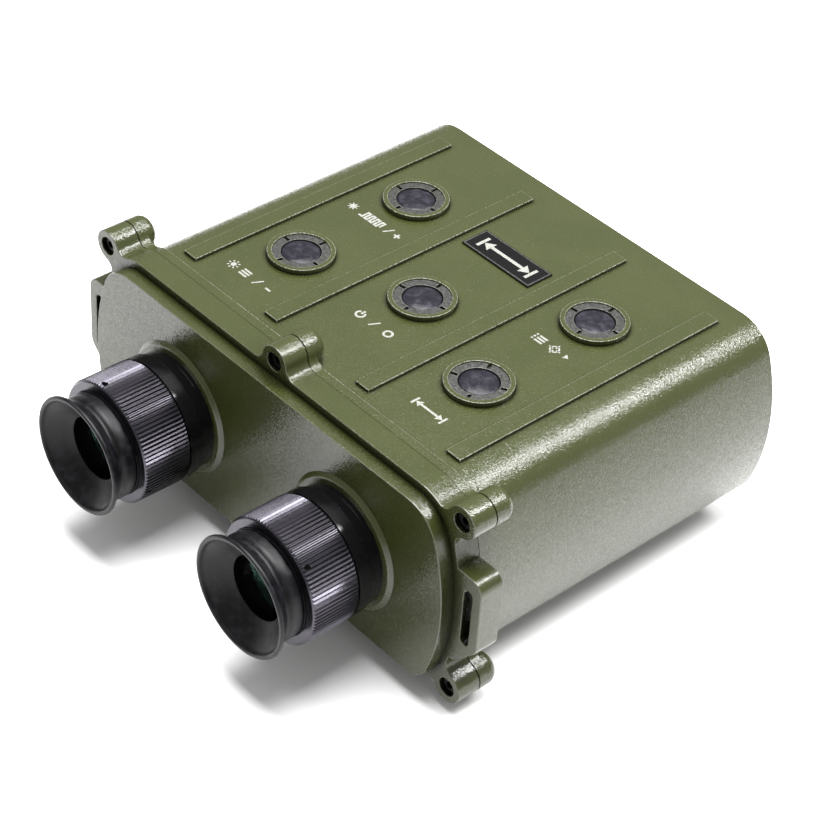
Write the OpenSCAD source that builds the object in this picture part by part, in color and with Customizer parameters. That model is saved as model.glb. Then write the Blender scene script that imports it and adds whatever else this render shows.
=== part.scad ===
// Binocular laser rangefinder: a cast box with a bolted rear cover, two eyepieces, five sealed
// buttons, and the optics, electronics and battery that work inside it.
// Lengths are in millimetres. +Z is up, +Y is the way it looks, +X is to its user's right.
// The origin is the centre of the tripod socket's mouth, in the bottom face.
// A "section" is a 2D outline drawn in X and Z, and spans such as [y0, y1] run along Y.

/* [Housing] */
// Width of the cast box across its bulged sides
body_w = 136.8; // [132:0.2:142]
// Height of the cast box, without ribs and bezels
body_h = 54.1; // [53:0.1:58]
// Distance from the tripod socket to the front face
front_y = 57.5; // [56:0.5:66]
// Place of the joint between the housing and the rear cover
joint_y = -46; // [-48:0.5:-45]
// Wall thickness of the castings
wall = 3; // [2.6:0.1:3.2]
// Radius of the upper long edges
top_corner_r = 11.5; // [10.5:0.1:12.5]
// Radius of the lower long edges
bottom_corner_r = 8.5; // [7.5:0.1:9.5]
// Radius of the bulged sides
side_r = 60; // [58:1:70]
// Length of the thick rim behind the joint
rim_t = 2.7; // [2:0.1:3.4]
// How far the thick rim stands proud of the box
rim_proud = 1; // [0.6:0.1:1.2]
// Width of a top rib
rib_w = 4.9; // [4:0.1:6]
// Height of a top rib
rib_h = 0.9; // [0.5:0.1:1.4]
// Distance from the centre line to the inner ribs
inner_rib_x = 17.5; // [15:0.5:19]
// Distance from the centre line to the outer ribs
outer_rib_x = 50.3; // [46:0.1:51]

/* [Rear cover] */
// Thickness of the bolted flange
flange_t = 7.2; // [6.6:0.1:8]
// Width and depth of the open groove along the joint
parting = 0.4; // [0.2:0.05:0.5]
// How far the flange stands proud of the box
flange_proud = 1.3; // [1:0.1:1.6]
// Height of the raised eyepiece block on the flange
block_t = 4; // [3.6:0.1:5]
// How far the eyepiece block's outline lies inside the box's outline
block_inset = 0.6; // [0.4:0.1:1.2]
// How far the eyepiece block sits below the middle of the flange
block_drop = 0.5; // [0:0.1:0.8]
// Width of the strap slots
slot_w = 2.7; // [2.2:0.1:3]
// Length of the strap slots
slot_len = 17; // [14:0.5:18]

/* [Screws] */
// Outer radius of a screw lug
lug_r = 4.5; // [4.2:0.1:4.8]
// Radius of the cover screws' shanks
screw_r = 1.25; // [1:0.05:1.4]
// Length of the cover screws' shanks
screw_len = 9; // [8:0.5:10]

/* [Eyepieces] */
// Distance between the two eyepiece axes
eye_spacing = 65; // [64:0.5:66]
// Height of the optical axes above the bottom face
eye_z = 24.4; // [24:0.1:25]
// Outer radius of the knurled dioptre rings
ring_r = 17; // [16.8:0.1:17.4]
// Number of flutes round a dioptre ring
flute_count = 96; // [72:4:108]
// Depth of the flutes
flute_depth = 0.4; // [0.25:0.05:0.5]
// Radius of the eyecups' lips
eyecup_r = 16.3; // [15.5:0.1:17]
// How far the eyecups' lips stand behind the eyepiece block
eyecup_reach = 32.4; // [32:0.1:34]

/* [Buttons] */
// Distance from the centre line to the side buttons
button_x = 33.9; // [33:0.1:35]
// Place of the two front side buttons
front_button_y = 23.5; // [22:0.5:24]
// Place of the centre button
centre_button_y = -4.6; // [-6:0.2:-4]
// Place of the two rear side buttons
rear_button_y = -16.4; // [-17:0.2:-15]
// Outer radius of the raised bezels
bezel_r = 9; // [8.6:0.1:9.6]
// Height of the raised bezels
bezel_h = 1.5; // [1.2:0.1:1.8]
// Radius of the rubber domes
dome_r = 5.2; // [4.8:0.1:5.4]
// How far a button travels
button_travel = 0.8; // [0.5:0.1:0.8]

/* [Front] */
// Radius of the objective bores
objective_r = 18.5; // [18:0.1:18.8]
// Height of the laser axis above the bottom face
laser_z = 42; // [41.6:0.1:42.2]
// Radius of the laser bore
laser_r = 8.5; // [8:0.1:8.8]
// Height of the battery axis above the bottom face
battery_z = 19.5; // [19.4:0.1:20]
// Radius of the battery
battery_r = 9.2; // [8.5:0.1:9.3]

/* [Tripod socket] */
// Radius of the socket's threaded wall
socket_r = 3.2; // [3.18:0.01:3.3]
// Depth of the threaded wall
socket_depth = 7; // [5:0.5:7.5]

/* [Hidden] */
$fn = 96;

LEFT = -1;
RIGHT = 1;
eps = 0.5; // how far a cutter runs past the face it opens
slip = 0.08; // radial clearance of running fits
thread_gap = 0.02; // radial clearance of screws in their tapped holes

olive = [0.36, 0.40, 0.25];
anodised = [0.09, 0.09, 0.10];
rubber_grey = [0.20, 0.19, 0.21];
steel = [0.55, 0.55, 0.56];
glass_blue = [0.45, 0.55, 0.70, 0.5];
board_green = [0.10, 0.35, 0.20];
brass_yellow = [0.75, 0.62, 0.35];

// ---- Outlines ----

// Bearing of a vector in degrees, and an angle brought into 0 to 360
function bearing(v) = atan2(v.y, v.x);
function full_turn(a) = a - 360 * floor(a / 360);
function polar(r, a) = r * [cos(a), sin(a)];

// Points of an arc after its start, turning by sweep degrees
function arc(centre, r, start, sweep, steps = 10) =
  [for (i = [1:steps]) centre + polar(r, start + sweep * i / steps)];
function arc_cw(centre, r, start, end, steps = 10) =
  arc(centre, r, start, -full_turn(start - end), steps);
function arc_ccw(centre, r, start, end, steps = 6) =
  arc(centre, r, start, full_turn(end - start), steps);

// The right half of an outline, closed with its mirror image
function mirrored(half) =
  concat(half, [for (i = [len(half) - 1:-1:0]) if (half[i].x > 0.01) [-half[i].x, half[i].y]]);

// Centre of the fillet between two circles, on the left (side 1) or right (side -1) of a to b
function fillet_centre(a, a_r, b, b_r, r, side) =
  let (reach = a_r + r, gap = norm(b - a))
  let (spread = acos((reach * reach + gap * gap - pow(b_r + r, 2)) / (2 * reach * gap)))
  a + polar(reach, bearing(b - a) + side * spread);

// The box's side is one flat arc, and each corner arc touches it and a flat face
side_c = [body_w / 2 - side_r, 0.47 * body_h];
function corner_centre(r, z) = [side_c.x + sqrt(pow(side_r - r, 2) - pow(z - side_c.y, 2)), z];
top_c = corner_centre(top_corner_r, body_h - top_corner_r);
bottom_c = corner_centre(bottom_corner_r, bottom_corner_r);
top_bearing = bearing(top_c - side_c);
bottom_bearing = bearing(bottom_c - side_c);

// Section of the box, grown outwards on all sides
module body_section(grow = 0) {
  polygon(mirrored(concat(
    [[top_c.x, body_h + grow]],
    arc_cw(top_c, top_corner_r + grow, 90, top_bearing),
    arc_cw(side_c, side_r + grow, top_bearing, bottom_bearing, 14),
    arc_cw(bottom_c, bottom_corner_r + grow, bottom_bearing, -90)
  )));
}

// Places of the screw lugs
lug_fillet = 3;
corner_lug_x = body_w / 2 - 0.5;
top_lug = [corner_lug_x, body_h - 0.9];
bottom_lug = [corner_lug_x, 0];
mid_lug_out = 3.4; // the middle lugs' centres lie this far outside the box
mid_lugs = [[0, body_h + mid_lug_out], [0, -mid_lug_out]];
lugs = concat(mid_lugs, [for (x = [-1, 1], lug = [top_lug, bottom_lug]) [x * lug.x, lug.y]]);

// Outline past a corner lug of radius r, walking clockwise from circle a to circle b
function corner_lug(lug, r, a, a_r, b, b_r) =
  let (f1 = fillet_centre(a, a_r, lug, r, lug_fillet, 1))
  let (f2 = fillet_centre(b, b_r, lug, r, lug_fillet, -1))
  concat(
    arc_ccw(f1, lug_fillet, bearing(a - f1), bearing(lug - f1)),
    arc_cw(lug, r, bearing(f1 - lug), bearing(f2 - lug), 20),
    arc_ccw(f2, lug_fillet, bearing(lug - f2), bearing(b - f2))
  );

// Right half of a middle lug on a flat face at height z, walking away from its tip
function mid_lug(lug, r, z, up) =
  let (rise = up * (z - lug.y) + lug_fillet)
  let (f = [sqrt(pow(r + lug_fillet, 2) - rise * rise), z + up * lug_fillet])
  concat(
    [[0, lug.y + up * r]],
    arc(lug, r, up * 90, bearing(f - lug) - up * 90, 12),
    arc(f, lug_fillet, bearing(lug - f), up * (full_turn(up * (-up * 90 - bearing(lug - f)))), 6)
  );
function reversed(points) = [for (i = [len(points) - 1:-1:0]) points[i]];

// Section of a flange: the grown box with all six screw lugs, of radius r
module lugged_section(grow, r = lug_r) {
  top_r = top_corner_r + grow;
  bottom_r = bottom_corner_r + grow;
  top_fillet = fillet_centre(top_c, top_r, top_lug, r, lug_fillet, 1);
  upper_fillet = fillet_centre(side_c, side_r + grow, top_lug, r, lug_fillet, -1);
  lower_fillet = fillet_centre(side_c, side_r + grow, bottom_lug, r, lug_fillet, 1);
  bottom_fillet = fillet_centre(bottom_c, bottom_r, bottom_lug, r, lug_fillet, -1);
  polygon(mirrored(concat(
    mid_lug(mid_lugs[0], r, body_h + grow, 1),
    [[top_c.x, body_h + grow]],
    arc_cw(top_c, top_r, 90, bearing(top_fillet - top_c), 6),
    corner_lug(top_lug, r, top_c, top_r, side_c, side_r + grow),
    arc_cw(side_c, side_r + grow, bearing(upper_fillet - side_c), bearing(lower_fillet - side_c), 12),
    corner_lug(bottom_lug, r, side_c, side_r + grow, bottom_c, bottom_r),
    arc_cw(bottom_c, bottom_r, bearing(bottom_fillet - bottom_c), -90, 4),
    reversed(mid_lug(mid_lugs[1], r, -grow, -1))
  )));
}

// ---- Building blocks ----

// Extrudes a section from y0 to y1
module along_y(y0, y1) {
  translate([0, y1, 0]) rotate([90, 0, 0]) linear_extrude(y1 - y0) children();
}

// Turns a profile of [radius, y] points about the Y axis
module turned(points) {
  rotate([-90, 0, 0]) rotate_extrude() polygon(points);
}

module rod(r, y0, y1) {
  translate([0, y0, 0]) rotate([-90, 0, 0]) cylinder(r = r, h = y1 - y0);
}

module pipe(outer_r, inner_r, y0, y1) {
  turned([[inner_r, y0], [outer_r, y0], [outer_r, y1], [inner_r, y1]]);
}

module at_eye(side) {
  translate([side * eye_spacing / 2, 0, eye_z]) children();
}

module at_lugs(y) {
  for (lug = lugs) translate([lug.x, y, lug.y]) children();
}

// A lens with its rim between y0 and y1, bulging forward, and backward too if given a second sphere
module lens(r, y0, y1, front_sphere_r, back_sphere_r = 0) {
  depth = function (sphere_r) sqrt(sphere_r * sphere_r - r * r);
  intersection() {
    rod(r, back_sphere_r > 0 ? y0 - r : y0, y1 + r);
    translate([0, y1 - depth(front_sphere_r), 0]) sphere(front_sphere_r, $fn = 250);
    if (back_sphere_r > 0) translate([0, y0 + depth(back_sphere_r), 0])
      sphere(back_sphere_r, $fn = 250);
  }
}

// ---- Housing ----

rib_gap = 6; // from the joint to the ribs' back ends
rib_len = 89.2;
lug_web_len = 4; // length of the web that carries a housing lug
lug_len = 6.2; // length of a housing lug
lug_round = 2.4; // radius of a housing lug's end

side_button_ys = [front_button_y, rear_button_y];
buttons = concat(
  [[0, centre_button_y]],
  [for (side = [-1, 1], y = side_button_ys) [side * button_x, y]]
);
ring_turns = [9, 1, -5, 7, 25]; // where each button's ring happened to stop, in degrees
ring_t = 1.4;
ring_floor_z = body_h - 0.3;
ring_bore_r = bezel_r - 1.4;
pocket_r = ring_bore_r - 0.7;
lip_z = ring_floor_z - 0.05; // top of the lip that keeps a button under its ring
lip_t = 0.65;
pocket_floor_z = lip_z - lip_t - button_travel - 0.2;
pad_z = body_h - 4.2; // underside of the pad below each button
plunger_r = 2.8;
plunger_len = 5.15;

seat_y = 42.5; // back of the objective seats
lens_shoulder_y = seat_y + 2;
laser_seat_y = 44;
laser_shoulder_y = laser_seat_y + 5;
battery_seat_y = 46;
cap_bore_r = battery_r + 2.3;
insert_r = 5;
insert_len = socket_depth + 1;

board_x = 58; // inner face of the side boards
board_t = 1.6;
board_spots = [for (y = [-30, 40], z = [13, 37]) [y, z]];
keypad_z = body_h - 10.3; // underside of the keypad board
keypad_spots = [for (x = [-20, 20], y = [-20, 22]) [x, y]];
board_screw_r = 1;
post_r = 2.2;

cradle_w = 35;
cradle_h = 34;
cradle_span = [-38, -8];
cradle_feet = [for (x = [-12, 12], y = [-30, -16]) [x, y]];
foot_r = 3;

gasket_band = [0.6, 2]; // sides of the gasket's groove, this far inside the box's outline
gasket_t = 0.95;

module lug_post() {
  r = lug_r - 0.1;
  turned(concat(
    [[0, joint_y + lug_web_len - eps], [r, joint_y + lug_web_len - eps]],
    [[r, joint_y + lug_len - lug_round]],
    arc([r - lug_round, joint_y + lug_len - lug_round], lug_round, 0, 90, 5),
    [[0, joint_y + lug_len]]
  ));
}

module housing_shell() {
  difference() {
    union() {
      along_y(joint_y, front_y) body_section();
      along_y(joint_y, joint_y + rim_t) lugged_section(rim_proud);
      along_y(joint_y + eps, joint_y + lug_web_len) lugged_section(-1);
      for (lug = lugs) translate([lug.x, 0, lug.y]) lug_post();
      for (x = [-outer_rib_x, -inner_rib_x, inner_rib_x, outer_rib_x])
        translate([x - rib_w / 2, joint_y + rib_gap, body_h - eps])
          cube([rib_w, rib_len, rib_h + eps]);
      for (spot = buttons) translate([spot.x, spot.y, body_h - eps])
        cylinder(r = bezel_r, h = bezel_h + eps);
    }
    along_y(joint_y - eps, front_y - wall) body_section(-wall);
  }
}

module housing_bosses() {
  into_front = front_y - wall + eps;
  for (side = [LEFT, RIGHT]) at_eye(side) rod(objective_r + 2, seat_y, into_front);
  translate([0, 0, laser_z]) rod(laser_r + 1, laser_seat_y, into_front);
  translate([0, 0, battery_z]) rod(cap_bore_r + 1.7, battery_seat_y, into_front);
  for (spot = buttons) translate([spot.x, spot.y, pad_z])
    cylinder(r = ring_bore_r + 1.1, h = body_h - wall + eps - pad_z);
  translate([0, 0, wall - eps]) cylinder(r = insert_r + 2, h = insert_len + 0.6 - wall + eps);
  for (side = [LEFT, RIGHT], spot = board_spots)
    translate([side * (board_x + board_t + 3), spot[0], spot[1]]) rotate([0, 90, 0])
      cylinder(r = post_r, h = 6, center = true);
  for (spot = keypad_spots) translate([spot.x, spot.y, keypad_z + board_t])
    cylinder(r = post_r, h = body_h - wall + eps - keypad_z - board_t);
  for (side = [LEFT, RIGHT], foot = cradle_feet)
    translate([side * eye_spacing / 2 + foot.x, foot.y, wall - eps])
      cylinder(r = foot_r, h = eye_z - cradle_h / 2 - wall + eps);
}

module housing_holes() {
  for (side = [LEFT, RIGHT]) at_eye(side) {
    rod(objective_r, lens_shoulder_y, front_y + eps);
    rod(objective_r - 1.7, seat_y - eps, lens_shoulder_y + eps);
  }
  translate([0, 0, laser_z]) {
    rod(laser_r, laser_shoulder_y, front_y + eps);
    rod(laser_r - 2, laser_seat_y - eps, laser_shoulder_y + eps);
  }
  translate([0, 0, battery_z]) rod(cap_bore_r, battery_seat_y - eps, front_y + eps);
  for (spot = buttons) translate([spot.x, spot.y, 0]) {
    translate([0, 0, ring_floor_z]) cylinder(r = ring_bore_r, h = 5);
    translate([0, 0, pocket_floor_z]) cylinder(r = pocket_r, h = 5);
    translate([0, 0, pad_z - eps]) cylinder(r = plunger_r + 0.3, h = 5);
  }
  translate([0, 0, -eps]) cylinder(r = insert_r, h = insert_len + eps);
  at_lugs(joint_y - eps) rod(screw_r + thread_gap, 0, 6);
  along_y(joint_y - eps, joint_y + gasket_t + 0.05) difference() {
    body_section(-gasket_band[0]);
    body_section(-gasket_band[1]);
  }
  for (side = [LEFT, RIGHT], spot = board_spots)
    translate([side * (board_x + board_t + 1.5), spot[0], spot[1]]) rotate([0, 90, 0])
      cylinder(r = board_screw_r + thread_gap, h = 4, center = true);
  for (spot = keypad_spots) translate([spot.x, spot.y, keypad_z + board_t - eps])
    cylinder(r = board_screw_r + thread_gap, h = 4);
}

module main_housing() {
  color(olive) difference() {
    union() {
      housing_shell();
      housing_bosses();
    }
    housing_holes();
  }
}

module tripod_insert() {
  color(steel) difference() {
    cylinder(r = insert_r, h = insert_len);
    translate([0, 0, -eps]) cylinder(r = socket_r, h = socket_depth + eps);
  }
}

module nameplate() {
  plate = [25, 9, 0.5];
  color(anodised) translate([-plate.x / 2, front_button_y + 1.5 - plate.y / 2, body_h]) cube(plate);
}

// ---- Rear cover ----

flange_y = joint_y - flange_t;
block_y = flange_y - block_t;
base_ring_y = block_y - 1;
base_ring_r = ring_r + 0.6;
mount_bore_r = 15.6;
counterbore_r = 2.5;
counterbore_depth = 3.6;
strap_x = body_w / 2 + 8; // outer face of a strap lug
strap_top_z = 39.2;
strap_bottom_z = 10;
strap_round = 3.4;
slot_c = [strap_x - 4.25, 26.2];

// Section of the right strap lug: rounded above, sloped at 45 degrees below
module strap_lug() {
  root_x = body_w / 2 - 2;
  lower_c = [strap_x - strap_round, strap_bottom_z + 9];
  slope_end = lower_c + polar(strap_round, -45);
  polygon(concat(
    [[root_x, strap_top_z], [strap_x - strap_round, strap_top_z]],
    arc_cw([strap_x - strap_round, strap_top_z - strap_round], strap_round, 90, 0, 6),
    [[strap_x, lower_c.y]],
    arc_cw(lower_c, strap_round, 0, -45, 4),
    [[slope_end.x + strap_bottom_z - slope_end.y, strap_bottom_z], [root_x, strap_bottom_z]]
  ));
}

module strap_slot() {
  r = slot_w / 2;
  half = slot_len / 2 - r;
  polygon(concat(
    arc(slot_c + [0, half], r, 180, -180),
    [slot_c + [r, -half]],
    arc(slot_c - [0, half], r, 0, -180),
    [slot_c + [-r, half]]
  ));
}

module rear_cover() {
  cavity_end = block_y + wall;
  color(olive) difference() {
    union() {
      along_y(flange_y, joint_y - parting) {
        lugged_section(flange_proud);
        for (side = [0, 1]) mirror([side, 0]) strap_lug();
      }
      along_y(joint_y - parting - eps, joint_y) lugged_section(flange_proud - parting, lug_r - parting);
      translate([0, 0, -block_drop]) along_y(block_y, flange_y + eps) body_section(-block_inset);
      for (side = [LEFT, RIGHT]) at_eye(side) turned([
        [0, block_y + eps], [base_ring_r + 1.1, block_y + eps], [base_ring_r + 1.1, block_y],
        [base_ring_r, base_ring_y], [0, base_ring_y]
      ]);
    }
    along_y(cavity_end, joint_y + eps) body_section(-wall - block_inset);
    for (side = [LEFT, RIGHT]) at_eye(side) rod(mount_bore_r, base_ring_y - eps, cavity_end + eps);
    at_lugs(flange_y) {
      rod(counterbore_r, -eps, counterbore_depth);
      rod(screw_r + 0.15, 0, flange_t + eps);
    }
    for (side = [0, 1]) mirror([side, 0, 0]) along_y(flange_y - eps, joint_y + eps) strap_slot();
  }
}

module cover_gasket() {
  color(anodised) along_y(joint_y, joint_y + gasket_t) difference() {
    body_section(-gasket_band[0] - 0.05);
    body_section(-gasket_band[1] + 0.05);
  }
}

// Socket-head screws, one in each lug, with their heads sunk in the counterbores
module cover_screws() {
  seat_y = flange_y + counterbore_depth;
  head_h = 2.5;
  color(anodised) for (lug = lugs) translate([lug.x, 0, lug.y]) difference() {
    union() {
      rod(screw_r * 1.8, seat_y - head_h, seat_y);
      rod(screw_r, seat_y - eps, seat_y - eps + screw_len);
    }
    translate([0, seat_y - head_h - eps, 0]) rotate([-90, 0, 0])
      cylinder(r = 1.15, h = 1.3 + eps, $fn = 6);
  }
}

// ---- Buttons and boards ----

// Rubber button: a dome, the lip that keeps it under its ring, and the plunger below
module button(spot) {
  crown = 0.7;
  proud = 0.3; // height of the dome above its ring
  rim_z = ring_floor_z + ring_t + proud - crown;
  dome_sphere_r = (dome_r * dome_r + crown * crown) / (2 * crown);
  color(rubber_grey) translate([spot.x, spot.y, 0]) {
    translate([0, 0, lip_z - lip_t]) cylinder(r = pocket_r - 0.1, h = lip_t);
    intersection() {
      translate([0, 0, lip_z - eps]) cylinder(r = dome_r, h = 5);
      translate([0, 0, rim_z + crown - dome_sphere_r]) sphere(dome_sphere_r);
    }
    translate([0, 0, lip_z - plunger_len]) cylinder(r = plunger_r, h = plunger_len - eps);
  }
}

module button_front_left() { button([-button_x, front_button_y]); }
module button_rear_left() { button([-button_x, rear_button_y]); }
module button_centre() { button([0, centre_button_y]); }
module button_front_right() { button([button_x, front_button_y]); }
module button_rear_right() { button([button_x, rear_button_y]); }

// Threaded rings with four spanner slots that hold the buttons down
module button_rings() {
  slot_w = 0.9;
  slot_depth = 0.8;
  color(anodised) for (i = [0:len(buttons) - 1])
    translate([buttons[i].x, buttons[i].y, ring_floor_z]) rotate(ring_turns[i]) difference() {
      cylinder(r = ring_bore_r - 0.05, h = ring_t);
      translate([0, 0, -eps]) cylinder(r = dome_r + 0.15, h = ring_t + 2 * eps);
      for (a = [0:90:270]) rotate(a) translate([dome_r + 0.5, -slot_w / 2, ring_t - slot_depth])
        cube([ring_bore_r, slot_w, slot_depth + eps]);
    }
}

module board_screw() {
  head_h = 1.3;
  shank_len = 4.6;
  translate([0, 0, -head_h]) {
    cylinder(r = 1.9 * board_screw_r, h = head_h);
    cylinder(r = board_screw_r, h = head_h + shank_len);
  }
}

module board_screws() {
  color(steel) {
    for (side = [LEFT, RIGHT], spot = board_spots)
      translate([side * board_x, spot[0], spot[1]]) rotate([0, side * 90, 0]) board_screw();
    for (spot = keypad_spots) translate([spot.x, spot.y, keypad_z]) board_screw();
  }
}

// Board under the keypad, notched for the laser tube
module keypad_board() {
  half_w = button_x + 8;
  back = -26;
  front = front_button_y + 9.5;
  notch = laser_r + 1;
  color(board_green) translate([0, 0, keypad_z]) difference() {
    linear_extrude(board_t) difference() {
      translate([-half_w, back]) square([2 * half_w, front - back]);
      translate([-notch, 3]) square([2 * notch, front]);
    }
    for (spot = keypad_spots) translate([spot.x, spot.y, -eps])
      cylinder(r = board_screw_r + 0.1, h = board_t + 2 * eps);
  }
}

module tact_switches() {
  case = [5.2, 5.2, 1.6];
  stem_h = 0.7;
  assert(keypad_z + board_t + case.z + stem_h <= lip_z - plunger_len - button_travel);
  color(anodised) for (spot = buttons) translate([spot.x, spot.y, keypad_z + board_t]) {
    translate([-case.x / 2, -case.y / 2, 0]) cube(case);
    cylinder(r = 1.3, h = case.z + stem_h);
  }
}

// Upright board on a side wall, with chips given as [y, z, length, height, thickness]
module side_board(side, chips) {
  size = [board_t, 82, 34];
  corner = [board_x, -36, 8];
  color(board_green) difference() {
    union() {
      translate([side < 0 ? -corner.x - size.x : corner.x, corner.y, corner.z]) cube(size);
      for (chip = chips) translate([side < 0 ? -corner.x - eps : corner.x - chip[4], chip[0], chip[1]])
        cube([chip[4] + eps, chip[2], chip[3]]);
    }
    for (spot = board_spots) translate([side * board_x, spot[0], spot[1]]) rotate([0, 90, 0])
      cylinder(r = board_screw_r + 0.1, h = 4 * board_t, center = true);
  }
}

module main_board() {
  processor = [2, 16, 14, 14, 1.5];
  memory = [22, 18, 9, 12, 1.2];
  plug = [-2, 34, 20, 4, 2.5];
  side_board(RIGHT, [processor, memory, plug]);
}

module power_board() {
  coil = [0, 14, 12, 12, 2.8];
  converter = [18, 14, 8, 8, 2.4];
  plug = [18, 28, 14, 6, 2];
  side_board(LEFT, [coil, converter, plug]);
}

// ---- Telescopes ----

glass_r = objective_r - 0.2;

// Its back curve rests on the inner edge of the housing's shoulder
module objective_lens(side) {
  rim_back_y = lens_shoulder_y + 0.3;
  color(glass_blue) at_eye(side) lens(glass_r, rim_back_y, rim_back_y + 3.7, 60, 120);
}

// Threaded ring that holds an objective lens, with two spanner slots
module objective_ring(side) {
  back_y = lens_shoulder_y + 4.8;
  ring_front_y = front_y - 0.8;
  inner_r = objective_r - 2.3;
  color(anodised) at_eye(side) difference() {
    turned([
      [inner_r, back_y], [objective_r - slip, back_y], [objective_r - slip, ring_front_y],
      [inner_r + 1, ring_front_y], [inner_r, back_y + 4.5]
    ]);
    for (a = [0, 180]) rotate([0, a, 0]) translate([objective_r, ring_front_y, 0])
      cube([3, 2, 2], center = true);
  }
}

module telescope_tube(side) {
  color(anodised) at_eye(side) pipe(objective_r - 0.5, objective_r - 1.7, cradle_span[1], seat_y);
}

// Open-bottomed box that holds the prisms behind a telescope tube
module prism_cradle(side) {
  inside_w = 29;
  plate_t = 1.5;
  color(steel) at_eye(side) difference() {
    translate([-cradle_w / 2, cradle_span[0], -cradle_h / 2])
      cube([cradle_w, cradle_span[1] - cradle_span[0], cradle_h]);
    translate([-inside_w / 2, cradle_span[0] + plate_t, -cradle_h])
      cube([inside_w, cradle_span[1] - cradle_span[0] - 2 * plate_t, cradle_h + inside_w / 2]);
    rod(13, cradle_span[0] - eps, cradle_span[1] + eps);
  }
}

// Roof prism pair: a front half-prism and a rear roof prism, parted by a thin slanted gap
module prism(side) {
  half = 13.5;
  width = 28;
  y0 = cradle_span[0] + 1.6;
  y1 = cradle_span[1] - 1.6;
  gap = 0.4;
  slant = 11;
  split = (y0 + y1) / 2;
  color(glass_blue) at_eye(side) rotate([90, 0, 90]) linear_extrude(width, center = true) {
    polygon([[y1, -half], [y1, half], [split + slant / 2 + gap, half], [split - slant / 2 + gap, -half]]);
    polygon([[y0, -half], [split - slant / 2 - gap, -half], [split + slant / 2 - gap, half], [y0, half]]);
  }
}

// Light detector on the right telescope
module receiver_module() {
  color(board_green) translate([eye_spacing / 2 + cradle_w / 2, -22, eye_z]) rotate([0, 90, 0]) {
    cylinder(r = 4.1, h = 3.2);
    translate([-6, -6, 3]) cube([12, 12, 1.2]);
  }
}

// Readout display on the left telescope
module display_module() {
  color(board_green) translate([-eye_spacing / 2 - cradle_w / 2 - 3, -29, eye_z - 6]) cube([3, 14, 12]);
}

// ---- Laser ----

module laser_lens() {
  color(glass_blue) translate([0, 0, laser_z])
    lens(laser_r - 0.1, laser_shoulder_y, laser_shoulder_y + 2, 40);
}

module laser_ring() {
  y0 = laser_shoulder_y + 3;
  inner_r = laser_r - 1.9;
  ring_front_y = front_y - 0.8;
  color(anodised) translate([0, 0, laser_z]) turned([
    [inner_r, y0], [laser_r - slip, y0], [laser_r - slip, ring_front_y],
    [inner_r + 0.8, ring_front_y], [inner_r, y0 + 3]
  ]);
}

laser_tube_y = 10;

module laser_tube() {
  color(anodised) translate([0, 0, laser_z]) pipe(laser_r - 1, laser_r - 2, laser_tube_y, laser_seat_y);
}

module laser_diode() {
  base_y = laser_tube_y + 1;
  color(brass_yellow) translate([0, 0, laser_z]) {
    rod(laser_r - 2, base_y, base_y + 1.8);
    rod(4, base_y + 1.5, base_y + 6);
    for (x = [-2, 0, 2]) translate([x, 0, 0]) rod(0.3, base_y - 4, base_y + eps);
  }
}

// ---- Battery ----

battery_span = [-12, 53];
tube_r = battery_r + 1.1;

module battery() {
  shoulder_y = battery_span[1] - 1.5;
  color([0.25, 0.35, 0.55]) translate([0, 0, battery_z]) {
    rod(battery_r, battery_span[0], shoulder_y);
    rod(3, shoulder_y - eps, battery_span[1]);
  }
}

module battery_tube() {
  back_y = battery_span[0] - 4;
  bore_r = battery_r + 0.2;
  flange_r = cap_bore_r + 0.6;
  color(anodised) translate([0, 0, battery_z]) turned([
    [0, back_y], [tube_r, back_y], [tube_r, battery_seat_y - 1.5],
    [flange_r, battery_seat_y - 1.5], [flange_r, battery_seat_y],
    [bore_r, battery_seat_y], [bore_r, back_y + 1.5], [0, back_y + 1.5]
  ]);
}

// Bent strip that presses on the battery's back end
module battery_spring() {
  half = 6;
  strip_t = 0.4;
  strip_w = 6;
  back_y = battery_span[0] - 2.5;
  color(brass_yellow) translate([0, back_y, battery_z - strip_w / 2]) linear_extrude(strip_w) polygon([
    [-half, 0], [-half + 2, 0], [0, 2], [half - 2, 0], [half, 0],
    [half, strip_t], [half - 2, strip_t], [0, 2 + strip_t], [-half + 2, strip_t], [-half, strip_t]
  ]);
}

cap_plug_y = battery_span[1] - 2.5;
cap_floor_y = battery_span[1] + 0.6;

// Sprung disc inside the cap that touches the battery's front end
module battery_contact() {
  color(brass_yellow) translate([0, 0, battery_z]) rod(7, battery_span[1] + 0.05, cap_floor_y - 0.05);
}

// Screw cap with a coin slot, a grip rim and a groove for its O-ring
module battery_cap() {
  head_r = cap_bore_r + 1.7;
  head_t = 2.4;
  plug_r = cap_bore_r - slip;
  groove = [front_y - 2.4, front_y - 0.9];
  groove_r = cap_bore_r - 1;
  coin_slot = [13, 1.4, 2];
  color(olive) translate([0, 0, battery_z]) difference() {
    turned([
      [0, cap_floor_y], [battery_r + 0.3, cap_floor_y], [battery_r + 0.3, cap_plug_y],
      [plug_r, cap_plug_y], [plug_r, groove[0]], [groove_r, groove[0]], [groove_r, groove[1]],
      [plug_r, groove[1]], [plug_r, front_y], [head_r, front_y],
      [head_r, front_y + head_t - 0.6], [head_r - 0.6, front_y + head_t], [0, front_y + head_t]
    ]);
    translate([0, front_y + head_t, 0]) cube([coin_slot.x, 2 * coin_slot.y, coin_slot.z], center = true);
    for (a = [0:15:345]) rotate([0, a, 0]) translate([head_r + 0.35, 0, 0])
      rod(0.7, front_y + 0.6, front_y + head_t + eps);
  }
}

module cap_o_ring() {
  cord_r = 0.42;
  color(anodised) translate([0, front_y - 1.65, battery_z]) rotate([90, 0, 0])
    rotate_extrude() translate([cap_bore_r - 0.04 - cord_r, 0]) circle(cord_r);
}

// ---- Eyepieces ----

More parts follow.
